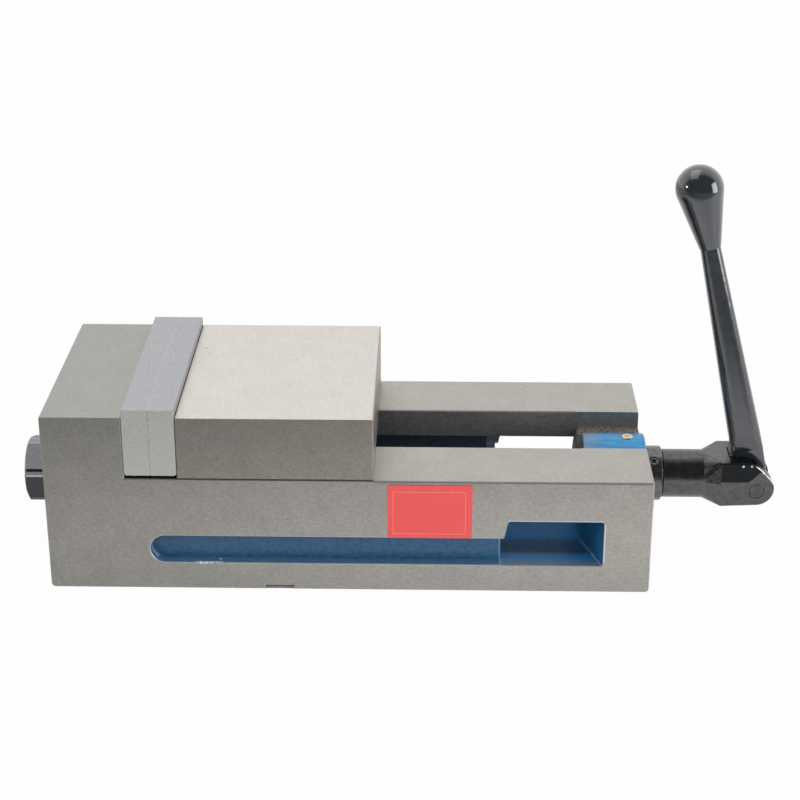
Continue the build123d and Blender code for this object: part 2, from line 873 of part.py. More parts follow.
def handle_arm():
    """The arm with its ball grip, upright along +Z from the pin, then leaned back."""
    sections = [
        RectangleRounded(2 * arm_eye_radius, arm_thickness, edge_break),
        Pos(0, 0, arm_tongue) * RectangleRounded(arm_base_width, arm_thickness, arm_edge_round),
        Pos(0, 0, arm_shoulder) * RectangleRounded(arm_base_width, arm_swell, arm_swell_round),
        Pos(0, 0, neck_from_pin) * RectangleRounded(arm_neck_width, arm_neck_width, arm_neck_round),
    ]
    shank = loft(sections, ruled=True)
    eye = Rot(90, 0, 0) * Cylinder(arm_eye_radius, arm_thickness)
    land_top = arm_heel_height + arm_heel_land
    heel_points = [
        (0, arm_heel_height / 3),
        (-arm_eye_radius, arm_heel_height / 3),
        (heel_x(arm_heel_height), arm_heel_height),
        (heel_x(land_top), land_top),
        (-arm_base_width / 2 + arm_heel_sink, arm_heel_end),
        (0, arm_heel_end),
    ]
    heel = prism_xz(heel_points, -arm_thickness / 2, arm_thickness / 2)
    rims = heel.edges().filter_by(Axis.Y, reverse=True)
    heel = chamfer([edge for edge in rims if edge.center().X < -arm_eye_radius], arm_heel_edge)
    arm = shank + eye + heel + grip()
    arm -= Rot(90, 0, 0) * Cylinder(pin_radius + running_gap, arm_thickness + 2 * overshoot)
    return Pos(pin_x, 0, pin_z) * Rot(0, -arm_lean, 0) * arm


def grip():
    """The teardrop grip: a cone that runs tangent into the ball."""
    reach = ball_from_pin - neck_from_pin
    slope = (ball_radius - grip_neck_radius) / reach
    touch_z = ball_from_pin - ball_radius * slope
    touch_r = ball_radius * (1 - slope**2) ** 0.5
    crown = (0, ball_from_pin + ball_radius)
    outline = (
        Polyline((0, neck_from_pin), (grip_neck_radius, neck_from_pin), (touch_r, touch_z))
        + RadiusArc((touch_r, touch_z), crown, -ball_radius)
        + Line(crown, (0, neck_from_pin))
    )
    return revolve(Plane.XZ * make_face(outline), Axis.Z)


def side_label():
    label_right = window_left - label_from_window
    plate = block(
        label_right - label_length,
        label_right,
        -half_width - label_thickness,
        -half_width,
        groove_top + label_above_groove,
        bed_height - label_below_bed,
    )
    return fillet(plate.edges().filter_by(Axis.Y), label_corner)


# One file for each node
nodes = {
    "vise_body": vise_body(),
    "fixed_jaw_plate": jaw_plate(fixed_face, 1),
    "fixed_plate_screws": plate_screws(plates_meet, 1),
    "moving_jaw": moving_jaw(),
    "moving_jaw_plate": jaw_plate(plates_meet, -1),
    "moving_plate_screws": plate_screws(plates_meet, -1),
    "screw_nut": screw_nut(),
    "lock_segment": half_ball(lock_ball_radius),
    "jaw_set_screw": jaw_set_screw(),
    "lead_screw": lead_screw(),
    "thrust_nut": thrust_nut(),
    "nut_set_screw": nut_set_screw(),
    "outer_thrust_washer": outer_washer(),
    "inner_thrust_washer": inner_washer(),
    "roller_cage": roller_cage(),
    "thrust_rollers": thrust_rollers(),
    "screw_bush": screw_bush(),
    "dust_seal": dust_seal(),
    "screw_ring": screw_ring(),
    "ring_set_screw": ring_set_screw(),
    "oiler_body": oiler_body(),
    "oiler_ball": oiler_ball(),
    "oiler_spring": oiler_spring(),
    "handle_hub": handle_hub(),
    "hub_set_screw": hub_set_screw(),
    "hinge_pin": hinge_pin(),
    "handle_arm": handle_arm(),
    "side_label": side_label(),
}
os.makedirs("parts", exist_ok=True)
for name, shape in nodes.items():
    export_step(shape, f"parts/{name}.step")
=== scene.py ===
import math

import bmesh
import bpy
from mathutils import Euler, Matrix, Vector


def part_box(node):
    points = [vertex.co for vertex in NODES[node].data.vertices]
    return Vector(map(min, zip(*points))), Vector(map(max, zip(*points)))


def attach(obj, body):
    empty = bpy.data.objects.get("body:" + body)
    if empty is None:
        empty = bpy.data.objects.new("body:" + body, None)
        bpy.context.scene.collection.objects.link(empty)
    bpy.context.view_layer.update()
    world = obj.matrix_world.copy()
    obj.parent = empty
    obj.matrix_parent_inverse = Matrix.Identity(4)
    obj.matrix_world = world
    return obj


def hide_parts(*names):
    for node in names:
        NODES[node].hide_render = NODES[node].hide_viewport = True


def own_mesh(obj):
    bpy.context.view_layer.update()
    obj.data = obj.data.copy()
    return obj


# A precision milling vise on a white table: ground iron, blue enamel in the cored recesses,
# a black forged crank and a threaded screw. Metres, in the same frame as the solids.
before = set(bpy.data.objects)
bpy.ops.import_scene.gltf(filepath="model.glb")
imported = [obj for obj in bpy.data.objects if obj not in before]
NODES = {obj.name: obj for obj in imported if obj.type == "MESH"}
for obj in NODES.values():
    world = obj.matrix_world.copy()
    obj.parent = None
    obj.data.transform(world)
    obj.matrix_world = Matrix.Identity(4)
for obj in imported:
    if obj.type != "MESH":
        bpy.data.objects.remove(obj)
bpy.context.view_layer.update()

MM = 0.001
BODY_LOW, BODY_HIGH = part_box("vise_body")
SCREW_LOW, SCREW_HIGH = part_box("lead_screw")
SCREW_Z = (SCREW_LOW.z + SCREW_HIGH.z) / 2
JAW_LOW, JAW_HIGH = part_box("moving_jaw")
PLATE_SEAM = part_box("fixed_jaw_plate")[1].x
PLATE_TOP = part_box("fixed_jaw_plate")[1].z
PLATE_BREAK = 1.2 * MM
EAR_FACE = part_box("handle_hub")[1].y
BED_HEIGHT = 78.0 * MM
HALF_WIDTH = BODY_HIGH.y
HALF_CHANNEL = 29.0 * MM
CHANNEL_LEFT = -114.0 * MM
RAIL_BOTTOM = 59.4 * MM
KEYWAY_DEPTH = 3.0 * MM
BRIDGE_TOP = 67.0 * MM
BRIDGE_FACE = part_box("dust_seal")[1].x - 3.0 * MM
HUMP_RADIUS = 26.3 * MM
BRIDGE_HALF = 40.6 * MM
GROOVE_BOTTOM = 19.0 * MM
GROOVE_TOP = 37.8 * MM
GROOVE_DEPTH = 8.0 * MM
GROOVE_END_X = -117.2 * MM
GROOVE_END_Z = (GROOVE_BOTTOM + GROOVE_TOP) / 2
GROOVE_RADIUS = (GROOVE_TOP - GROOVE_BOTTOM) / 2
WINDOW_LEFT = 96.5 * MM
WINDOW_RIGHT = 162.0 * MM
WINDOW_TOP = 50.0 * MM
HALF_LENGTH = -BODY_LOW.x
HALF_CAVITY = 64.0 * MM
RIM_BARE = 0.7 * MM
NUT_CORNER = 22.2 * MM
EAR_LEFT = 243.5 * MM
NOSE_LEFT = 264.0 * MM
NOSE_BOTTOM = 46.0 * MM
FLARE_HALF = 15.2 * MM
FLARE_LENGTH = 10.0 * MM

# Heights above the screw on the nut: where its lower face ends and its upper one starts, and the
# middle and reach of the painted highlight, its painted dark reflection line and painted glint on the
# near corner
NUT_LOWER_FACE = NUT_CORNER * 0.19
NUT_UPPER_FACE = NUT_CORNER * 0.385
NUT_HIGHLIGHT = (NUT_CORNER * 0.275, NUT_CORNER * 0.12)
NUT_DARK_REFLECTION = (NUT_CORNER * 0.350, NUT_CORNER * 0.040)
NUT_GLINT = (NUT_CORNER * 0.190, NUT_CORNER * 0.022)

# The clevis's painted dark reflection fades between these heights. Its edge climbs between two places
# in X
REFLECTION_EDGE = (48.2 * MM, 49.2 * MM)
REFLECTION_CLIMB = (260.0 * MM, 271.5 * MM)
REFLECTION_RISE = 8.0 * MM

# The worn stretch of the near groove's lower lip, how far the grain frays its outline, how far it
# spreads, and one flake beside it: X, Y and radius
CHIPS_MIDDLE = -90.0 * MM
CHIPS_HALF_LENGTH = 9.0 * MM
CHIPS_HALF_HEIGHT = 0.9 * MM
CHIPS_FRAY = 3.0
CHIPS_SPREAD = 1.75
LONE_FLAKE = (-82.6 * MM, -75.2 * MM, 0.9 * MM)

# The painted highlight of the crescent on the groove's end wall fades in and out over these places in
# Y, and the painted shade on the floor under the rails over these distances from the middle plane
CRESCENT_FRONT = (-77.2 * MM, -75.8 * MM)
CRESCENT_BACK = (-71.6 * MM, -72.8 * MM)
UNDER_RAIL_SHADE_INNER = (32.0 * MM, 44.0 * MM)
UNDER_RAIL_SHADE_OUTER = (70.0 * MM, 56.0 * MM)

# Stains and rust spots on the moving jaw's top: X, Y and radius in metres, and strength
STAINS = (
    (-0.1001, 0.0362, 0.0015, 0.40),
    (-0.0380, 0.0180, 0.0012, 0.45),
    (-0.0980, 0.0330, 0.0090, 0.05),
)

# Bright nicks along the top edge of the clevis's ears: X, Z and radius in metres
NICKS = ((0.2574, 0.0603, 0.0008), (0.2629, 0.0604, 0.0007), (0.2661, 0.0613, 0.0009))

# Thread of the lead screw
THREAD_LEAD = 5.0 * MM
THREAD_DEPTH = 2.75 * MM
THREAD_FLAT = 1.7 * MM
THREAD_STEPS = 40
THREAD_START = JAW_LOW.x - 3.2 * MM
THREAD_END = BRIDGE_FACE - 13.0 * MM
THREAD_LAP = 0.2 * MM
THREAD_MERGE = 0.01 * MM

# Printed border of the label
LABEL_CORNER = 0.8 * MM
LABEL_MARGIN = 3.6 * MM
LABEL_LINE = 0.45 * MM
LABEL_SHIFT = Vector((-0.4, 0.0, -0.8)) * MM

# The slot of the oiler's spring is its solid's
COIL_SLOT = NODES["oiler_spring"].data.materials[0].name.split(".")[0]

# Levels of the studio, from 0 for black to 1 for white. The two glows are the shares of the table
# that are plain light, not board, to the camera and in reflections
FRONT_DIM = 0.22
NEAR_DIM = 0.80
ROOM_DIM = 0.10
BACK_BRIGHT = 1.00
AMBIENT = 0.66
SEEN_GLOW = 0.97
MIRRORED_GLOW = 0.95

# In reflections the table darkens towards the front over the first of these stretches in Y, and
# dims a little at the foot of the vise over the second. It brightens to the right, between two
# places in X that have the two levels after them
TABLE_SIZE = 8.0
TABLE_DROP = 0.02 * MM
TABLE_FRONT = (-0.46, -0.17)
TABLE_FOOT = (-0.150, -0.100)
TABLE_ACROSS = (-0.45, 0.30, 0.60, 1.10)

# The room brightens from front to back, between these two values of a direction's Y
ROOM_FADE = (-0.25, 0.20)

# Soft lamps that look at the middle of the vise: name, place, size and watts
LAMP_AIM = Vector((0.0, 0.0, 0.06))
LAMPS = (
    ("softbox_above", (-0.25, 0.10, 1.50), (1.3, 0.8), 3.5),
    ("window_right", (1.60, -0.50, 0.45), (0.7, 1.0), 9.5),
    ("lamp_left", (-1.40, -0.50, 0.60), (0.16, 0.16), 2.0),
)

# Camera of the photograph
CAMERA_PLACE = (0.05418, -1.15028, 0.60390)
CAMERA_TILT = 66.28
CAMERA_TURN = 1.156
CAMERA_LENS = 85.6
SENSOR_WIDTH = 36.0
CLIP_START = 0.05

# Noises have this many finer layers, a wave of scale 1 repeats over this length in metres, and
# faces that meet at a smaller angle than this one, in degrees, are shaded as one round face
NOISE_DETAIL = 3.0
WAVE_LENGTH = 0.314
SMOOTH_ANGLE = 30.0


def linear(code):
    """An sRGB hex colour as linear RGBA."""
    codes = [int(code[i : i + 2], 16) / 255 for i in (1, 3, 5)]
    plain = [c / 12.92 if c <= 0.04045 else ((c + 0.055) / 1.055) ** 2.4 for c in codes]
    return (*plain, 1.0)


def scale_for(size_mm):
    """The scale at which a noise has features of this real size."""
    return 1.0 / (size_mm * MM)


def add(tree, kind, inputs=None, **settings):
    """Adds one node. An input is a plain value, or the socket that feeds it."""
    made = tree.nodes.new("ShaderNode" + kind)
    for name, value in settings.items():
        setattr(made, name, value)
    for key, value in (inputs or {}).items():
        if isinstance(value, bpy.types.NodeSocket):
            tree.links.new(value, made.inputs[key])
        else:
            made.inputs[key].default_value = value
    return made


# Numbers of the sockets of a Mix node that is set to colours
FACTOR, FIRST, SECOND, RESULT = 0, 6, 7, 2


def new_material(name):
    """An empty material, and the tree of nodes that it gets."""
    material = bpy.data.materials.new(name)
    material.use_nodes = True
    material.node_tree.nodes.clear()
    return material, material.node_tree


def close_material(tree, **inputs):
    """Ends a material in one Principled shader."""
    named = {key.replace("_", " "): value for key, value in inputs.items()}
    shader = add(tree, "BsdfPrincipled", named)
    add(tree, "OutputMaterial", {"Surface": shader.outputs["BSDF"]})


# Patterns that several finishes share. A pixel of the picture covers about 0.7 mm of the vise, so
# pores, tool marks and the like are drawn coarser than real ones, most of them about 1 mm wide
def grain(tree, place, size_mm, low, high):
    """A noise of this real size, spread to run from 0 at low to 1 at high."""
    pattern = {"Vector": place, "Scale": scale_for(size_mm), "Detail": NOISE_DETAIL}
    noise = add(tree, "TexNoise", pattern)
    spread = {"Value": noise.outputs["Fac"], "From Min": low, "From Max": high}
    return add(tree, "MapRange", spread).outputs["Result"]


def between(tree, factor, first, second):
    """A colour between two, by a factor from 0 to 1."""
    mixed = {FACTOR: factor, FIRST: first, SECOND: second}
    return add(tree, "Mix", mixed, data_type="RGBA").outputs[RESULT]


def laid_over(tree, colour, mask, code, share=1.0):
    """A colour, with another one laid over it where the mask is, at this share of its strength."""
    if share < 1.0:
        mask = number(tree, "MULTIPLY", mask, share)
    return between(tree, mask, colour, linear(code))


def number(tree, operation, first, second=0.0, third=0.0):
    """One sum on numbers or sockets."""
    return add(tree, "Math", {0: first, 1: second, 2: third}, operation=operation).outputs[0]


def over(tree, value, limit):
    """1 where a value is above the limit, else 0."""
    return number(tree, "GREATER_THAN", value, limit)


def under(tree, value, limit):
    """1 where a value is below the limit, else 0."""
    return number(tree, "LESS_THAN", value, limit)


def near(tree, value, middle, reach):
    """1 where a value is within this reach of the middle, else 0."""
    off = number(tree, "ABSOLUTE", number(tree, "SUBTRACT", value, middle))
    return number(tree, "LESS_THAN", off, reach)


def away(tree, first, first_middle, second, second_middle):
    """The distance from a line that runs along the third axis."""
    along = number(tree, "SUBTRACT", first, first_middle)
    across = number(tree, "SUBTRACT", second, second_middle)
    square = number(tree, "MULTIPLY_ADD", along, along, number(tree, "MULTIPLY", across, across))
    return number(tree, "SQRT", square)


def either(tree, first, *others):
    """1 where any of these masks is 1."""
    for other in others:
        first = number(tree, "MAXIMUM", first, other)
    return first


def without(tree, mask, hole):
    """A mask, with another one cut out of it."""
    return number(tree, "MULTIPLY", mask, number(tree, "SUBTRACT", 1.0, hole))


def all_of(tree, first, *others):
    """1 only where every one of these masks is 1."""
    for other in others:
        first = number(tree, "MULTIPLY", first, other)
    return first


def ramp(tree, value, start, end, low=0.0, high=1.0):
    """Runs smoothly from low at the start to high at the end."""
    spread = {"Value": value, "From Min": start, "From Max": end, "To Min": low, "To Max": high}
    return add(tree, "MapRange", spread, interpolation_type="SMOOTHSTEP").outputs["Result"]


def coordinates(tree, place):
    """X, Y and Z of a place as numbers."""
    return add(tree, "SeparateXYZ", {"Vector": place}).outputs


def facing(tree):
    """X, Y and Z of the way that the surface faces."""
    return coordinates(tree, add(tree, "NewGeometry").outputs["Normal"])


def bumps(tree, height, depth_mm, before=None):
    """Turns a height from 0 to 1 into a bump of this real depth."""
    inputs = {"Height": height, "Distance": depth_mm * MM, "Strength": 1.0}
    if before is not None:
        inputs["Normal"] = before
    return add(tree, "Bump", inputs).outputs["Normal"]


def object_place(tree):
    """Places in the frame that the solids share, in metres."""
    return add(tree, "TexCoord").outputs["Object"]


def stretched(tree, place, along, factor):
    """The same places squeezed along one axis, so that a noise is drawn out into streaks."""
    scale = [1.0, 1.0, 1.0]
    scale["XYZ".index(along)] = factor
    return add(tree, "Mapping", {"Vector": place, "Scale": scale}).outputs["Vector"]


def ground_iron(tree, place, dark, light):
    """Ground grey iron: fine pores, short wheel marks along X, a cloudy lay. Colour, gloss, bump."""
    # Real pores and marks are about a tenth of a millimetre wide. They are drawn coarser, to show
    pores = grain(tree, place, 1.1, 0.34, 0.66)
    marks = grain(tree, stretched(tree, place, "X", 0.25), 1.0, 0.32, 0.68)
    cloud = grain(tree, place, 14.0, 0.32, 0.68)
    mix = number(tree, "MULTIPLY", marks, 0.36)
    mix = number(tree, "MULTIPLY_ADD", pores, 0.48, mix)
    mix = number(tree, "MULTIPLY_ADD", cloud, 0.16, mix)
    colour = between(tree, mix, linear(dark), linear(light))
    gloss = number(tree, "MULTIPLY_ADD", mix, -0.08, 0.48)
    height = number(tree, "MULTIPLY_ADD", pores, 0.6, number(tree, "MULTIPLY", marks, 0.4))
    return colour, gloss, bumps(tree, height, 0.010)


def enamelled_recess(tree, at, side):
    """1 in the cored recesses: the grooves, the windows and the cavity under the rails."""
    return all_of(
        tree,
        under(tree, side, HALF_WIDTH - RIM_BARE),
        over(tree, at["Z"], KEYWAY_DEPTH + 0.5 * MM),
        under(tree, at["Z"], RAIL_BOTTOM - 0.1 * MM),
        near(tree, at["X"], 0.0, HALF_LENGTH - 1.0 * MM),
    )


def enamelled_hump(tree, at, side):
    """1 on the hump over the screw and on its boss at the end face."""
    higher = over(tree, at["Z"], BRIDGE_TOP + 0.1 * MM)
    proud = over(tree, at["X"], HALF_LENGTH + 0.1 * MM)
    return all_of(
        tree,
        under(tree, away(tree, side, 0.0, at["Z"], SCREW_Z), HUMP_RADIUS + 0.25 * MM),
        over(tree, at["X"], BRIDGE_FACE + 2.0 * MM),
        either(tree, higher, proud),
    )


def edge_highlights(tree, at, side):
    """1 on painted highlights along enamel edges: at a groove's open end and round the bridge's foot.
    """
    groove_end = all_of(
        tree,
        near(tree, at["X"], WINDOW_LEFT, 0.9 * MM),
        over(tree, side, HALF_WIDTH - GROOVE_DEPTH - 1.0 * MM),
        under(tree, at["Z"], GROOVE_TOP),
    )
    low = under(tree, at["Z"], GROOVE_BOTTOM + 0.6 * MM)
    foot = all_of(tree, low, over(tree, side, BRIDGE_HALF))
    corner = near(tree, side, BRIDGE_HALF, 0.5 * MM)
    wall = all_of(tree, either(tree, foot, corner), under(tree, facing(tree)["X"], -0.5))
    return either(tree, groove_end, wall)


def recess_outline(tree, at, side):
    """1 on a thin painted highlight along a window's top and right side, and less on one round a
    groove.
    """
    middle_x = (WINDOW_LEFT + WINDOW_RIGHT) / 2 + 2.0 * MM
    middle_z = (GROOVE_BOTTOM + WINDOW_TOP) / 2
    inside_x = near(tree, at["X"], middle_x, (WINDOW_RIGHT - WINDOW_LEFT) / 2 - 3.0 * MM)
    inside_z = near(tree, at["Z"], middle_z, (WINDOW_TOP - GROOVE_BOTTOM) / 2 - 1.5 * MM)
    above = all_of(tree, inside_x, near(tree, at["Z"], WINDOW_TOP + 0.3 * MM, 0.5 * MM))
    beside = all_of(tree, inside_z, near(tree, at["X"], WINDOW_RIGHT + 0.3 * MM, 0.5 * MM))

    # The groove's line runs straight along its top and bottom, and round its left end
    past_end = number(tree, "MAXIMUM", number(tree, "SUBTRACT", GROOVE_END_X, at["X"]), 0.0)
    reach = away(tree, past_end, 0.0, at["Z"], GROOVE_END_Z)
    groove = near(tree, reach, GROOVE_RADIUS + 0.2 * MM, 0.5 * MM)
    groove = all_of(tree, groove, under(tree, at["X"], WINDOW_LEFT))
    faint = number(tree, "MULTIPLY", groove, 0.45)
    outer_face = over(tree, side, HALF_WIDTH - 0.5 * MM)
    return all_of(tree, either(tree, above, beside, faint), outer_face)


def chipped_lip(tree, at, place):
    """1 on the small flakes that are gone from the lower lip of the near groove."""
    ragged = grain(tree, place, 1.5, 0.36, 0.64)
    along = number(tree, "SUBTRACT", at["X"], CHIPS_MIDDLE)
    along = number(tree, "DIVIDE", along, CHIPS_HALF_LENGTH)
    up = number(tree, "SUBTRACT", at["Z"], GROOVE_BOTTOM)
    up = number(tree, "DIVIDE", up, CHIPS_HALF_HEIGHT)

    # The grain frays the outline of a flat oval round the middle of the worn stretch
    far = number(tree, "MULTIPLY_ADD", along, along, number(tree, "MULTIPLY", up, up))
    worn = under(tree, number(tree, "MULTIPLY_ADD", ragged, CHIPS_FRAY, far), CHIPS_SPREAD)
    worn = number(tree, "MULTIPLY", worn, under(tree, at["Y"], -HALF_WIDTH + 1.5 * MM))
    flake_x, flake_y, flake_radius = LONE_FLAKE
    flake = under(tree, away(tree, at["X"], flake_x, at["Y"], flake_y), flake_radius)
    lip = all_of(tree, either(tree, worn, flake), under(tree, at["Z"], GROOVE_BOTTOM + 1.2 * MM))
    return all_of(tree, lip, under(tree, at["Y"], -HALF_WIDTH + 6.0 * MM))


def crescent_highlight(tree, at):
    """1 on a painted highlight, a crescent on the round end wall of the near groove."""
    from_end = away(tree, at["X"], GROOVE_END_X, at["Z"], GROOVE_END_Z)
    wall = over(tree, from_end, GROOVE_RADIUS - 0.6 * MM)
    left = ramp(tree, at["X"], GROOVE_END_X - 4.5 * MM, GROOVE_END_X - 6.2 * MM)
    low = ramp(tree, at["Z"], GROOVE_END_Z + 1.0 * MM, GROOVE_END_Z - 1.5 * MM)
    front = ramp(tree, at["Y"], *CRESCENT_FRONT)
    back = ramp(tree, at["Y"], *CRESCENT_BACK)
    return all_of(tree, wall, left, low, front, back)


# Finishes
def body_iron(tree, place, at, side, upward, outline):
    """The casting's unpainted iron, painted light and shade on its ground edges. Colour, gloss, bump.
    """
    iron, gloss, bump = ground_iron(tree, place, "#A5A29C", "#C4C1BB")
    jaw_top = all_of(tree, upward, over(tree, at["Z"], BED_HEIGHT + 1.0 * MM))
    iron = laid_over(tree, iron, jaw_top, "#9C9E9A", 0.5)

    # Where two ground faces meet, a painted highlight runs on top and a painted dark reflection below
    # it
    right_of_jaw = over(tree, at["X"], JAW_HIGH.x)
    edge = all_of(tree, upward, over(tree, side, HALF_WIDTH - 0.8 * MM), right_of_jaw)
    below = all_of(
        tree,
        over(tree, side, HALF_WIDTH - 0.1 * MM),
        right_of_jaw,
        near(tree, at["Z"], BED_HEIGHT - 0.9 * MM, 0.5 * MM),
    )

    # A bare rim runs round the recesses, just inside the face, lightened as a painted highlight
    middle_z = (GROOVE_BOTTOM + RAIL_BOTTOM) / 2
    half_height = (RAIL_BOTTOM - GROOVE_BOTTOM) / 2
    rim = all_of(
        tree,
        near(tree, side, HALF_WIDTH - RIM_BARE / 2, RIM_BARE / 2 - 0.02 * MM),
        near(tree, at["Z"], middle_z, half_height + 0.5 * MM),
    )
    iron = laid_over(tree, iron, edge, "#E4E4E1", 0.7)
    iron = laid_over(tree, iron, below, "#6A6762", 0.6)
    iron = laid_over(tree, iron, rim, "#E2E2DF", 0.5)
    # Painted highlights along the outlines of the recesses
    iron = laid_over(tree, iron, outline, "#E8EAEB", 0.75)
    return iron, gloss, bump


def recess_blue(tree, place, at, side, upward, recess):
    """Recess enamel: painted light in brighter blue by the windows, darker, oiled and flecked
    elsewhere.
    """
    blue = between(tree, grain(tree, place, 3.0, 0.3, 0.7), linear("#2C5B82"), linear("#3A6F97"))
    inner = under(tree, side, HALF_WIDTH - GROOVE_DEPTH - 0.2 * MM)
    by_window = over(tree, at["X"], WINDOW_LEFT)
    window_lit_recess = all_of(tree, recess, inner, by_window)
    # Painted light: a brighter blue in the recesses by the windows
    blue = laid_over(tree, blue, window_lit_recess, "#1E86C6", 0.70)

    # Oil has greyed the far wall inside, left of its window
    far_side = over(tree, at["Y"], HALF_CHANNEL)
    tint_mask = all_of(tree, recess, inner, far_side, under(tree, at["X"], WINDOW_LEFT))
    blue = laid_over(tree, blue, tint_mask, "#8A8D93", 0.80)

    # Painted light on the floor, painted shade on the bridge's wall, and lighter ledges in the
    # grooves
    floor = all_of(tree, upward, recess, inner)
    blue = laid_over(tree, blue, floor, "#1D84C4", 0.80)
    bridge_wall_shade = all_of(tree, window_lit_recess, under(tree, facing(tree)["X"], -0.5))
    blue = laid_over(tree, blue, bridge_wall_shade, "#1A2430", 0.45)
    groove_ledge = all_of(tree, upward, without(tree, recess, inner))
    blue = laid_over(tree, blue, groove_ledge, "#6289AC", 0.6)

    # Painted shade darkens the floor under the rails, in patches, and small dark flecks lie
    # everywhere
    rising = ramp(tree, side, *UNDER_RAIL_SHADE_INNER)
    falling = ramp(tree, side, *UNDER_RAIL_SHADE_OUTER)
    shade_patches = number(tree, "MULTIPLY_ADD", grain(tree, place, 1.4, 0.40, 0.60), 0.35, 0.40)
    blue = laid_over(tree, blue, all_of(tree, floor, rising, falling, shade_patches), "#1C242C")
    flecks = grain(tree, stretched(tree, place, "X", 0.35), 1.3, 0.56, 0.68)
    return laid_over(tree, blue, flecks, "#172635", 0.30)


def hump_blue(tree, place, at):
    """Enamel on the hump: brushed on in strokes along the screw, dusty at the end by the jaw."""
    strokes = grain(tree, stretched(tree, place, "X", 0.12), 1.5, 0.3, 0.7)
    fresh = between(tree, strokes, linear("#1F7DB8"), linear("#3EA0D8"))
    dusty = between(tree, strokes, linear("#527C9C"), linear("#7596B0"))
    worn_end = ramp(tree, at["X"], BRIDGE_FACE + 18.0 * MM, BRIDGE_FACE + 6.0 * MM)
    return between(tree, number(tree, "MULTIPLY", worn_end, 0.8), fresh, dusty)


def body_finish():
    """Ground iron casting: soft grey outside, blue enamel in the rough recesses, darker ways."""
    material, tree = new_material("ground_iron_blue_enamel")
    place = object_place(tree)
    at = coordinates(tree, place)
    side = number(tree, "ABSOLUTE", at["Y"])
    upward = over(tree, facing(tree)["Z"], 0.7)
    recess = enamelled_recess(tree, at, side)
    hump = enamelled_hump(tree, at, side)
    chips = chipped_lip(tree, at, place)
    outline = recess_outline(tree, at, side)

    # The ways between the rails, the rough ledge of the bridge, and the bare wall by the far window
    between_rails = all_of(
        tree,
        under(tree, side, HALF_CHANNEL + 0.3 * MM),
        over(tree, at["Z"], RAIL_BOTTOM - 0.1 * MM),
        under(tree, at["Z"], BED_HEIGHT - 1.0 * MM),
        over(tree, at["X"], CHANNEL_LEFT - 1.0 * MM),
        under(tree, at["X"], HALF_LENGTH - 0.5 * MM),
    )
    ledge = number(tree, "MULTIPLY", between_rails, upward)
    # The bare wall by the far window is painted pale, partly as the light that falls in by the window
    bare_and_window_lit = all_of(
        tree,
        near(tree, at["Y"], HALF_CAVITY, 0.8 * MM),
        near(tree, at["X"], WINDOW_LEFT - 1.5 * MM, 4.5 * MM),
        under(tree, at["Z"], RAIL_BOTTOM - 0.1 * MM),
    )
    enamel = without(tree, without(tree, either(tree, recess, hump), chips), bare_and_window_lit)

    ragged = grain(tree, place, 1.3, 0.25, 0.75)
    iron, iron_gloss, iron_bump = body_iron(tree, place, at, side, upward, outline)
    smooth = grain(tree, place, 2.0, 0.3, 0.7)
    way_iron = between(tree, smooth, linear("#6E6E6F"), linear("#858585"))
    rough = grain(tree, place, 1.5, 0.35, 0.65)
    rough_iron = between(tree, rough, linear("#5B5751"), linear("#A39D94"))
    specks = between(tree, ragged, linear("#B4B9BE"), linear("#FAFBFC"))
    flakes = between(tree, ragged, linear("#C9D3DC"), linear("#FAFBFC"))

    recess_enamel = recess_blue(tree, place, at, side, upward, recess)
    blue = between(tree, hump, recess_enamel, hump_blue(tree, place, at))
    # Painted highlights along edges of the enamel
    blue = laid_over(tree, blue, edge_highlights(tree, at, side), "#7DB4DE", 0.6)
    # A painted highlight as a crescent on the near groove's end wall
    blue = laid_over(tree, blue, crescent_highlight(tree, at), "#A3C6E8", 0.6)

    colour = between(tree, between_rails, iron, way_iron)
    colour = between(tree, ledge, colour, rough_iron)
    colour = between(tree, bare_and_window_lit, colour, specks)
    colour = between(tree, enamel, colour, blue)
    colour = between(tree, chips, colour, flakes)
    gloss = number(tree, "MULTIPLY_ADD", enamel, -0.10, iron_gloss)

    # The enamel isn't metal, and the rough, broken or chipped places mirror little
    dull_ways = number(tree, "MULTIPLY", between_rails, 0.65)
    dull_line = number(tree, "MULTIPLY", outline, 0.5)
    metal = number(tree, "SUBTRACT", 1.0, either(tree, dull_ways, dull_line, bare_and_window_lit, chips, enamel))
    skin = bumps(tree, grain(tree, place, 2.5, 0.0, 1.0), 0.05, iron_bump)
    close_material(tree, Base_Color=colour, Metallic=metal, Roughness=gloss, Normal=skin)
    return material


def jaw_finish():
    """Ground iron jaw: a finely ground pale top, greyer sides, and a few rust spots on top."""
    material, tree = new_material("finely_ground_jaw_iron")
    place = object_place(tree)
    at = coordinates(tree, place)
    iron, gloss, bump = ground_iron(tree, place, "#9B958E", "#BAB4AD")

    # The lay of the wheel runs along Y, and is drawn coarser than it is, to show
    streaks = grain(tree, stretched(tree, place, "Y", 0.20), 1.2, 0.32, 0.68)
    cloud = grain(tree, place, 18.0, 0.32, 0.68)
    lay = number(tree, "MULTIPLY_ADD", cloud, 0.35, number(tree, "MULTIPLY", streaks, 0.65))
    pale = between(tree, lay, linear("#D5CFC8"), linear("#E0DBD5"))
    for x, y, radius, strength in STAINS:
        spot = ramp(tree, away(tree, at["X"], x, at["Y"], y), radius, radius * 0.4, 0.0, strength)
        pale = laid_over(tree, pale, spot, "#8A7460")
    top = over(tree, facing(tree)["Z"], 0.9)
    colour = between(tree, top, iron, pale)
    close_material(tree, Base_Color=colour, Metallic=1.0, Roughness=gloss, Normal=bump)
    return material


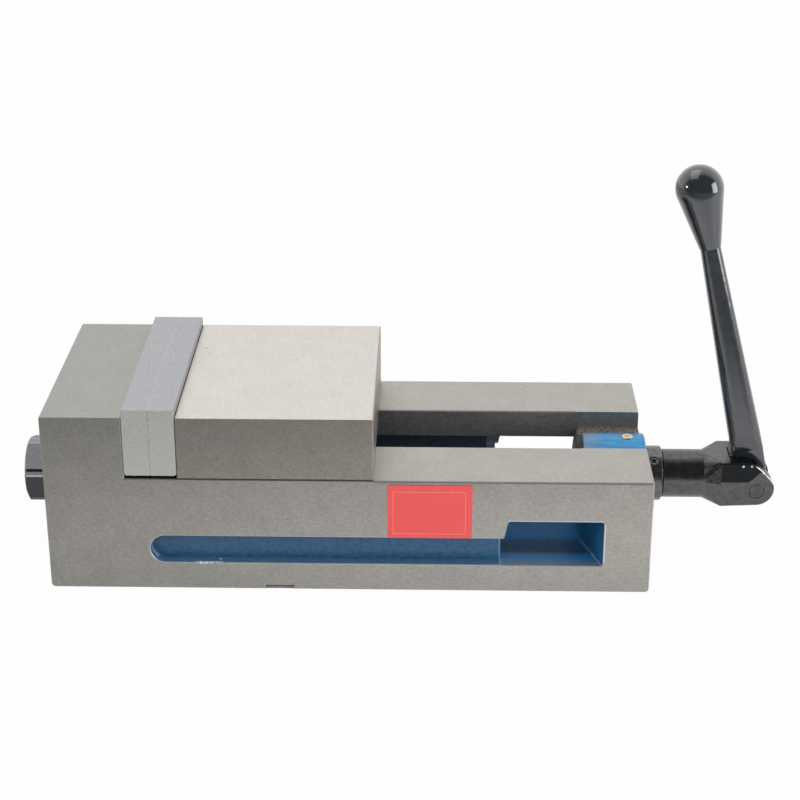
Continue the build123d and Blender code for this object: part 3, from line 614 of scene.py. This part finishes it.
def plate_finish():
    """Hardened jaw plate steel: a cool ground top, and duller, lighter ends."""
    material, tree = new_material("surface_ground_hardened_steel")
    place = object_place(tree)
    at = coordinates(tree, place)

    # The lay of the wheel and the pores are drawn coarser than they are, to show
    lay = grain(tree, stretched(tree, place, "Y", 0.12), 0.9, 0.32, 0.68)
    pores = grain(tree, place, 1.0, 0.35, 0.65)
    mix = number(tree, "MULTIPLY_ADD", pores, 0.5, number(tree, "MULTIPLY", lay, 0.5))
    top = between(tree, mix, linear("#A9A9AC"), linear("#BBBBBF"))
    end = between(tree, mix, linear("#BFBFBB"), linear("#D9D9D4"))
    sideways = over(tree, number(tree, "ABSOLUTE", facing(tree)["Y"]), 0.7)

    # The plates are ground together: the seam closes up on top, and holds a little dirt at the ends
    at_seam = near(tree, at["X"], PLATE_SEAM, PLATE_BREAK / 2)
    seam = all_of(tree, at_seam, over(tree, at["Z"], PLATE_TOP - PLATE_BREAK))
    by_seam = near(tree, at["X"], PLATE_SEAM, 1.6 * MM)
    dirt = all_of(tree, by_seam, over(tree, grain(tree, place, 1.6, 0.30, 0.70), 0.86))
    top = laid_over(tree, top, seam, "#C6C6C9")
    end = laid_over(tree, end, dirt, "#73736F", 0.6)
    colour = between(tree, sideways, top, end)
    gloss = number(tree, "MULTIPLY_ADD", mix, -0.08, 0.48)
    dull = number(tree, "MULTIPLY", either(tree, sideways, seam), 0.45)
    metal = number(tree, "SUBTRACT", 1.0, dull)
    bump = bumps(tree, mix, 0.008)
    close_material(tree, Base_Color=colour, Metallic=metal, Roughness=gloss, Normal=bump)
    return material


def steel_finish(name, dark, light, ring_mm):
    """Turned steel: fine tool rings round the X axis, under a film of oil."""
    material, tree = new_material(name)
    place = object_place(tree)

    # Real tool rings are 0.1 to 0.2 mm apart, and these are two or three times coarser
    scale = WAVE_LENGTH / (ring_mm * MM)
    wave = {"Vector": place, "Scale": scale, "Distortion": 0.6, "Detail": 1.0}
    rings = add(tree, "TexWave", wave, wave_type="BANDS", bands_direction="X").outputs["Fac"]
    stain = grain(tree, place, 6.0, 0.35, 0.65)
    mix = number(tree, "MULTIPLY_ADD", stain, 0.6, number(tree, "MULTIPLY", rings, 0.4))
    colour = between(tree, mix, linear(dark), linear(light))
    gloss = number(tree, "MULTIPLY_ADD", stain, 0.12, 0.26)
    bump = bumps(tree, rings, 0.01)
    close_material(tree, Base_Color=colour, Metallic=1.0, Roughness=gloss, Normal=bump)
    return material


def black_oxide(tree, place, dark, light, skin_mm):
    """Black oxide under oil: a dark skin, uneven by this much. Colour, gloss, bump."""
    # The crystals of the skin are far too small to show, and are drawn as a grain of 1.4 mm
    skin = grain(tree, place, 3.5, 0.30, 0.70)
    fine = grain(tree, place, 1.4, 0.30, 0.70)
    mix = number(tree, "MULTIPLY_ADD", fine, 0.35, number(tree, "MULTIPLY", skin, 0.65))
    colour = between(tree, mix, linear(dark), linear(light))
    gloss = number(tree, "MULTIPLY_ADD", mix, 0.12, 0.20)
    return colour, gloss, bumps(tree, fine, skin_mm / 5, bumps(tree, skin, skin_mm))


def black_finish(name, dark, light):
    """Oiled black oxide: a dark, slightly uneven skin that mirrors the room softly."""
    material, tree = new_material(name)
    colour, gloss, bump = black_oxide(tree, object_place(tree), dark, light, 0.016)
    close_material(tree, Base_Color=colour, Metallic=1.0, Roughness=gloss, Normal=bump)
    return material


def nut_finish():
    """Black oxide on a machined nut: painted light above and shade below, a highlight on its near
    corner.
    """
    material, tree = new_material("black_oxide_nut_painted_light")
    place = object_place(tree)
    at = coordinates(tree, place)
    colour, gloss, bump = black_oxide(tree, place, "#858789", "#8F9193", 0.002)
    rise = number(tree, "SUBTRACT", at["Z"], SCREW_Z)
    front = under(tree, at["Y"], 0.0)
    lower = all_of(tree, front, under(tree, rise, NUT_LOWER_FACE))
    upper = all_of(tree, front, over(tree, rise, NUT_UPPER_FACE))
    corner = over(tree, away(tree, at["Y"], 0.0, at["Z"], SCREW_Z), NUT_CORNER)
    corner_highlight = all_of(tree, corner, front, near(tree, rise, *NUT_HIGHLIGHT))
    # Painted shade on the nut's lower face and painted light on its upper face, on the near side
    colour = laid_over(tree, colour, lower, "#3A3B3F", 0.75)
    colour = laid_over(tree, colour, upper, "#A9ABAD", 0.8)
    colour = laid_over(tree, colour, corner, "#55575A", 0.25)
    # A painted highlight on the near corner, with a painted dark reflection line and a painted glint
    colour = laid_over(tree, colour, corner_highlight, "#B4B6B8")
    dark_reflection_line = all_of(tree, corner_highlight, near(tree, rise, *NUT_DARK_REFLECTION))
    colour = laid_over(tree, colour, dark_reflection_line, "#2B2C2D")
    glint = all_of(tree, corner_highlight, near(tree, rise, *NUT_GLINT))
    colour = laid_over(tree, colour, glint, "#F2F3F4")
    metal = number(tree, "MULTIPLY_ADD", either(tree, corner_highlight, upper), -0.5, 1.0)
    close_material(tree, Base_Color=colour, Metallic=metal, Roughness=gloss, Normal=bump)
    return material


def clevis_finish():
    """Black oxide on the clevis: painted dark reflection above, grey below, nicked on its edges."""
    material, tree = new_material("black_oxide_clevis_painted_reflection")
    place = object_place(tree)
    at = coordinates(tree, place)
    side = number(tree, "ABSOLUTE", at["Y"])
    colour, gloss, bump = black_oxide(tree, place, "#555556", "#6E6E6E", 0.016)
    flat = over(tree, side, EAR_FACE - 0.3 * MM)

    # The painted dark reflection's edge runs level from the flare, and climbs round the nose
    climb = ramp(tree, at["X"], *REFLECTION_CLIMB, 0.0, REFLECTION_RISE)
    height = number(tree, "SUBTRACT", at["Z"], climb)
    tint_mask = all_of(tree, flat, ramp(tree, height, *REFLECTION_EDGE), over(tree, at["X"], EAR_LEFT))
    colour = laid_over(tree, colour, tint_mask, "#14181C", 0.88)
    # Painted dark reflection, in patches, on the upper side of the flare
    flare = all_of(
        tree,
        over(tree, side, FLARE_HALF),
        under(tree, at["X"], EAR_LEFT),
        over(tree, at["X"], EAR_LEFT - FLARE_LENGTH),
        over(tree, at["Z"], SCREW_Z + 0.5 * MM),
    )
    reflection_patches = number(tree, "MULTIPLY_ADD", grain(tree, place, 2.2, 0.35, 0.65), 0.30, 0.45)
    colour = laid_over(tree, colour, number(tree, "MULTIPLY", flare, reflection_patches), "#1D1B1A")

    # Painted dark reflection on the nose, and three bright nicks on top
    nose = all_of(
        tree,
        under(tree, side, EAR_FACE - 0.4 * MM),
        over(tree, at["X"], NOSE_LEFT),
        over(tree, at["Z"], NOSE_BOTTOM),
    )
    colour = laid_over(tree, colour, nose, "#16181B", 0.75)
    # A painted highlight as a broken bright line along the ear's edge, and the nicks
    nicks_and_edge_highlight = all_of(
        tree,
        near(tree, side, EAR_FACE - 0.6 * MM, 0.30 * MM),
        over(tree, at["X"], NOSE_LEFT + 2.0 * MM),
        over(tree, at["Z"], NOSE_BOTTOM + 1.0 * MM),
        ramp(tree, grain(tree, place, 3.0, 0.30, 0.70), 0.25, 0.55),
    )
    for x, z, radius in NICKS:
        spot = under(tree, away(tree, at["X"], x, at["Z"], z), radius)
        nicks_and_edge_highlight = either(tree, nicks_and_edge_highlight, all_of(tree, spot, over(tree, side, EAR_FACE - 1.5 * MM)))
    colour = laid_over(tree, colour, nicks_and_edge_highlight, "#D5DADF")
    metal = number(tree, "MULTIPLY_ADD", nicks_and_edge_highlight, -0.7, 1.0)
    close_material(tree, Base_Color=colour, Metallic=metal, Roughness=gloss, Normal=bump)
    return material


def enamel_finish():
    """Glossy black stoving enamel on the crank, with a faint blue cast and a soft orange peel."""
    material, tree = new_material("stoved_black_enamel")
    place = object_place(tree)
    flow = grain(tree, place, 6.0, 0.30, 0.70)

    # Specks of dust are drawn larger than they are, to show
    dust = grain(tree, place, 1.2, 0.60, 0.72)
    colour = between(tree, flow, linear("#1A1F25"), linear("#2A3039"))
    colour = laid_over(tree, colour, dust, "#55585C", 0.2)
    gloss = number(tree, "MULTIPLY_ADD", dust, 0.12, 0.14)
    bump = bumps(tree, flow, 0.02)
    close_material(
        tree,
        Base_Color=colour,
        Metallic=0.0,
        Roughness=gloss,
        IOR=1.6,
        Coat_Weight=1.0,
        Coat_Roughness=0.12,
        Coat_IOR=1.6,
        Normal=bump,
        Coat_Normal=bump,
    )
    return material


def brass_finish(name, dark, light):
    """Turned yellow metal, dulled in patches by the fingers."""
    material, tree = new_material(name)
    place = object_place(tree)

    # The patches are as large as real ones. The tool marks under them are coarser, 0.5 mm wide
    tarnish = grain(tree, place, 1.6, 0.35, 0.65)
    colour = between(tree, tarnish, linear(dark), linear(light))
    gloss = number(tree, "MULTIPLY_ADD", tarnish, -0.12, 0.38)
    bump = bumps(tree, grain(tree, place, 0.5, 0.3, 0.7), 0.006)
    close_material(tree, Base_Color=colour, Metallic=1.0, Roughness=gloss, Normal=bump)
    return material


def rubber_finish():
    """Moulded nitrile rubber: matt black with a faint grey bloom."""
    material, tree = new_material("moulded_nitrile_rubber")
    place = object_place(tree)

    # The bloom's grain is drawn coarser than it is, to show
    bloom = grain(tree, place, 1.8, 0.35, 0.70)
    colour = between(tree, bloom, linear("#17181A"), linear("#2A2A2B"))
    gloss = number(tree, "MULTIPLY_ADD", bloom, 0.15, 0.55)
    close_material(tree, Base_Color=colour, Roughness=gloss, Normal=bumps(tree, bloom, 0.02))
    return material


def label_finish(name, dark, light):
    """Satin printed film on a thin plate: an even coral red, with a little mottle from the press."""
    material, tree = new_material(name)
    place = object_place(tree)

    # The mottle is drawn coarser than it is, to show
    mottle = grain(tree, place, 1.5, 0.30, 0.70)
    colour = between(tree, mottle, linear(dark), linear(light))
    gloss = number(tree, "MULTIPLY_ADD", mottle, 0.06, 0.42)
    close_material(tree, Base_Color=colour, Roughness=gloss, Normal=bumps(tree, mottle, 0.003))
    return material


# Tools for modelling
def deselect_all():
    """Leaves no object selected, because an operator acts on all that is."""
    bpy.ops.object.select_all(action="DESELECT")


def take(piece):
    """Selects one piece alone, and makes it the active one."""
    deselect_all()
    piece.select_set(True)
    bpy.context.view_layer.objects.active = piece


def edit(piece):
    """Opens one piece for editing, with nothing selected in it."""
    take(piece)
    bpy.ops.object.mode_set(mode="EDIT")
    bpy.ops.mesh.select_mode(type="VERT")
    bpy.ops.mesh.select_all(action="DESELECT")


def pick(piece, kind, wanted):
    """Selects the faces, edges or vertices that the test takes."""
    bpy.ops.mesh.select_mode(type=kind)
    bpy.ops.mesh.select_all(action="DESELECT")
    shape = bmesh.from_edit_mesh(piece.data)
    parts = {"VERT": shape.verts, "EDGE": shape.edges, "FACE": shape.faces}[kind]
    for part in parts:
        if wanted(part):
            part.select_set(True)
    bmesh.update_edit_mesh(piece.data)


def close_edit():
    """Ends the editing of a piece."""
    bpy.ops.object.mode_set(mode="OBJECT")


def settle(piece, body):
    """Puts a piece's place into its mesh, smooths its round faces, and gives it a body."""
    take(piece)
    bpy.ops.object.transform_apply(location=True, rotation=True, scale=True)
    bpy.ops.object.shade_smooth_by_angle(angle=math.radians(SMOOTH_ANGLE))
    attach(piece, body)
    return piece


def cut_end(piece, x, keep_left):
    """Cuts a piece square at x, closes the cut, and keeps one side of it."""
    edit(piece)
    bpy.ops.mesh.select_all(action="SELECT")
    bpy.ops.mesh.bisect(
        plane_co=(x, 0, 0),
        plane_no=(1, 0, 0),
        use_fill=True,
        clear_outer=keep_left,
        clear_inner=not keep_left,
    )
    close_edit()


# Pieces
def copied_solid(name, node):
    """A piece that starts as a copy of a solid, with its loose triangles joined."""
    piece = bpy.data.objects.new(name, NODES[node].data.copy())
    bpy.context.scene.collection.objects.link(piece)
    edit(piece)
    bpy.ops.mesh.select_all(action="SELECT")
    bpy.ops.mesh.remove_doubles(threshold=0.001 * MM)
    close_edit()
    return piece


def copied_end(name, x, keep_left):
    """One plain end of the lead screw, cut off a copy of the solid."""
    piece = copied_solid(name, "lead_screw")
    cut_end(piece, x, keep_left)
    return piece


def thread_profile():
    """One pitch of the trapezoidal thread, as steps along X and out from the axis."""
    flank = (THREAD_LEAD - 2 * THREAD_FLAT) / 2
    return [
        (THREAD_FLAT / 2, 0.0),
        (flank, THREAD_DEPTH),
        (THREAD_FLAT, 0.0),
        (flank, -THREAD_DEPTH),
        (THREAD_FLAT / 2, 0.0),
    ]


def threaded_screw():
    """The lead screw: a rolled thread between its turned ends."""
    crest = (SCREW_HIGH.y - SCREW_LOW.y) / 2
    first = Vector((THREAD_START - THREAD_LEAD, 0.0, crest - THREAD_DEPTH))
    deselect_all()
    bpy.ops.mesh.primitive_plane_add(size=1 * MM, location=first)
    thread = bpy.context.object
    thread.name = "lead_screw_threaded"
    bpy.ops.object.transform_apply(location=True)
    edit(thread)
    pick(thread, "VERT", lambda v: v.index > 0)
    bpy.ops.mesh.delete(type="VERT")
    pick(thread, "VERT", lambda v: True)
    start = bmesh.from_edit_mesh(thread.data).verts[:][0].co.copy()
    bpy.ops.transform.translate(value=first - start)
    for along, out in thread_profile():
        bpy.ops.mesh.extrude_region_move(TRANSFORM_OT_translate={"value": (along, 0.0, out)})
    close_edit()

    # The profile is wound about the X axis, and lifted to the height of the screw afterwards
    take(thread)
    bpy.ops.object.modifier_add(type="SCREW")
    screw = thread.modifiers[-1]
    screw.axis = "X"
    screw.screw_offset = THREAD_LEAD
    screw.iterations = math.ceil((THREAD_END - THREAD_START) / THREAD_LEAD) + 2
    screw.steps = THREAD_STEPS
    screw.render_steps = THREAD_STEPS
    screw.use_merge_vertices = True
    screw.merge_threshold = THREAD_MERGE
    bpy.ops.object.modifier_apply(modifier=screw.name)
    edit(thread)
    bpy.ops.mesh.select_all(action="SELECT")
    bpy.ops.mesh.remove_doubles(threshold=THREAD_MERGE)
    bpy.ops.transform.translate(value=(0.0, 0.0, SCREW_Z))
    close_edit()

    # The thread laps a little into the plain ends at both sides
    cut_end(thread, THREAD_START - THREAD_LAP, keep_left=False)
    cut_end(thread, THREAD_END + THREAD_LAP, keep_left=True)
    edit(thread)
    bpy.ops.mesh.select_all(action="SELECT")
    bpy.ops.mesh.normals_make_consistent(inside=False)
    close_edit()

    ends = [
        copied_end("screw_left_end", THREAD_START, keep_left=True),
        copied_end("screw_right_end", THREAD_END, keep_left=False),
    ]
    deselect_all()
    for piece in [*ends, thread]:
        piece.select_set(True)
    bpy.context.view_layer.objects.active = thread
    bpy.ops.object.join()
    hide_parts("lead_screw")
    return settle(thread, "screw")


def label_plate():
    """The red label: a thin plate with rounded corners and a pale printed border line."""
    low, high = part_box("side_label")
    deselect_all()
    bpy.ops.mesh.primitive_cube_add(size=1, location=(low + high) / 2, scale=high - low)
    label = bpy.context.object
    label.name = "red_label"
    bpy.ops.object.transform_apply(location=True, scale=True)
    label.data.materials.append(label_finish("printed_coral_film", "#FF5A58", "#FF6462"))
    label.data.materials.append(label_finish("printed_pale_line", "#FF8884", "#FF9692"))
    edit(label)
    pick(label, "FACE", lambda f: f.normal.y < -0.9)
    bpy.ops.mesh.inset(thickness=LABEL_MARGIN)
    bpy.ops.transform.translate(value=LABEL_SHIFT)
    bpy.ops.mesh.inset(thickness=LABEL_LINE)
    shape = bmesh.from_edit_mesh(label.data)
    middle = [face for face in shape.faces if face.select][0]
    line = {face.index for edge in middle.edges for face in edge.link_faces if face is not middle}
    pick(label, "EDGE", lambda e: abs(e.verts[0].co.y - e.verts[1].co.y) > (high.y - low.y) / 2)
    for face in bmesh.from_edit_mesh(label.data).faces:
        face.material_index = 1 if face.index in line else 0
    bpy.ops.mesh.bevel(offset=LABEL_CORNER, segments=5, affect="EDGES")
    close_edit()
    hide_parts("side_label")
    return settle(label, "vise")


def oiler_coil():
    """The oiler's spring: a copy of its solid, with a mesh of its own."""
    coil = copied_solid("oiler_coil", "oiler_spring")
    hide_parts("oiler_spring")
    settle(coil, "vise")
    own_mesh(coil)
    return coil


# Studio
def dress(node, material):
    """Gives a solid its finish in every slot that its mesh has."""
    if not node.material_slots:
        node.data.materials.append(material)
    for slot in node.material_slots:
        slot.material = material


def white_table():
    """A plain white table: even white to the camera, and dimmer toward the front in reflections."""
    deselect_all()
    bpy.ops.mesh.primitive_plane_add(size=TABLE_SIZE, location=(0, 0, -TABLE_DROP))
    table = bpy.context.object
    table.name = "white_table"
    material, tree = new_material("matt_white_board")
    at = coordinates(tree, object_place(tree))
    side = number(tree, "ABSOLUTE", at["Y"])
    front = ramp(tree, at["Y"], *TABLE_FRONT, FRONT_DIM, 1.0)
    front = number(tree, "MULTIPLY", front, ramp(tree, at["Y"], *TABLE_FOOT, 1.0, NEAR_DIM))
    level = number(tree, "MULTIPLY", front, ramp(tree, at["X"], *TABLE_ACROSS))
    path = add(tree, "LightPath").outputs
    seen = path["Is Camera Ray"]
    strength = between(tree, seen, level, (1.0, 1.0, 1.0, 1.0))
    glow = add(tree, "Emission", {"Color": strength, "Strength": 1.0})
    board = add(tree, "BsdfDiffuse", {"Color": linear("#F4F4F4")})

    # Under the vise the board only gets the light that reaches it, so the keyway's mouth stays dark
    hidden = all_of(
        tree,
        under(tree, side, HALF_WIDTH - 1.0 * MM),
        under(tree, number(tree, "ABSOLUTE", at["X"]), HALF_LENGTH - 2.0 * MM),
    )
    mirrored = number(tree, "MAXIMUM", path["Is Glossy Ray"], path["Is Transmission Ray"])
    share = number(tree, "MULTIPLY", mirrored, MIRRORED_GLOW)
    share = without(tree, number(tree, "MULTIPLY_ADD", seen, SEEN_GLOW, share), hidden)
    shader = add(tree, "MixShader", {0: share, 1: board.outputs[0], 2: glow.outputs[0]})
    add(tree, "OutputMaterial", {"Surface": shader.outputs[0]})
    table.data.materials.append(material)


def backdrop():
    """White behind and beside the vise, and a dim room in front for the metal to mirror."""
    world = bpy.data.worlds.new("studio")
    bpy.context.scene.world = world
    world.use_nodes = True
    tree = world.node_tree
    tree.nodes.clear()
    way = coordinates(tree, add(tree, "TexCoord").outputs["Generated"])
    room = ramp(tree, way["Y"], *ROOM_FADE, ROOM_DIM, BACK_BRIGHT)
    path = add(tree, "LightPath").outputs
    room = between(tree, path["Is Diffuse Ray"], room, (AMBIENT, AMBIENT, AMBIENT, 1.0))
    room = between(tree, path["Is Camera Ray"], room, (1.0, 1.0, 1.0, 1.0))
    light = add(tree, "Background", {"Color": room, "Strength": 1.0})
    add(tree, "OutputWorld", {"Surface": light.outputs[0]})


def lamp(name, place, size, power):
    """A rectangular soft lamp that looks at the middle of the vise."""
    data = bpy.data.lights.new(name, "AREA")
    data.shape = "RECTANGLE"
    data.size, data.size_y = size
    data.energy = power
    made = bpy.data.objects.new(name, data)
    made.location = place
    aim = LAMP_AIM - Vector(place)
    made.rotation_euler = aim.to_track_quat("-Z", "Y").to_euler()
    bpy.context.scene.collection.objects.link(made)


def camera():
    """The camera that took the photograph, as fitted to it."""
    data = bpy.data.cameras.new("camera")
    data.lens = CAMERA_LENS
    data.sensor_width = SENSOR_WIDTH
    data.clip_start = CLIP_START
    made = bpy.data.objects.new("camera", data)
    made.location = CAMERA_PLACE
    made.rotation_euler = Euler((math.radians(CAMERA_TILT), 0.0, math.radians(CAMERA_TURN)))
    bpy.context.scene.collection.objects.link(made)
    bpy.context.scene.camera = made


camera()
threaded = threaded_screw()
label = label_plate()
coil = oiler_coil()

finishes = {
    "body_iron": body_finish(),
    "jaw_iron": jaw_finish(),
    "plate_steel": plate_finish(),
    "nut_iron": steel_finish("machined_oiled_iron", "#4A4947", "#6A6966", 0.5),
    "hard_steel": steel_finish("polished_hardened_steel", "#909195", "#B8B9BC", 0.3),
    "screw_steel": steel_finish("rolled_oiled_screw_steel", "#5C5C5E", "#8E8E90", 0.6),
    "black_steel": black_finish("oiled_black_oxide", "#4F4F50", "#6A6A69"),
    "handle_enamel": enamel_finish(),
    "cage_brass": brass_finish("pressed_cage_brass", "#A5813F", "#C8A561"),
    "oiler_brass": brass_finish("turned_oiler_brass", "#C6B286", "#EFE5CA"),
    "bush_bronze": brass_finish("turned_bush_bronze", "#8A5F33", "#B58350"),
    "seal_rubber": rubber_finish(),
    "label_red": label.data.materials[0],
}
for name, node in NODES.items():
    dress(node, finishes[node.data.materials[0].name.split(".")[0]])
dress(NODES["thrust_nut"], nut_finish())
dress(NODES["handle_hub"], clevis_finish())
dress(NODES["screw_ring"], black_finish("brushed_black_oxide_ring", "#5E5E5F", "#7E7E7D"))
# A pale finish on the set screw, a painted glint in its hole
dress(NODES["ring_set_screw"], black_finish("socket_screw_painted_glint", "#8E8F92", "#B9BBBE"))
dress(threaded, finishes["screw_steel"])
dress(coil, finishes[COIL_SLOT])

backdrop()
white_table()
for name, place, size, power in LAMPS:
    lamp(name, place, size, power)

bpy.context.scene.view_settings.view_transform = "Standard"
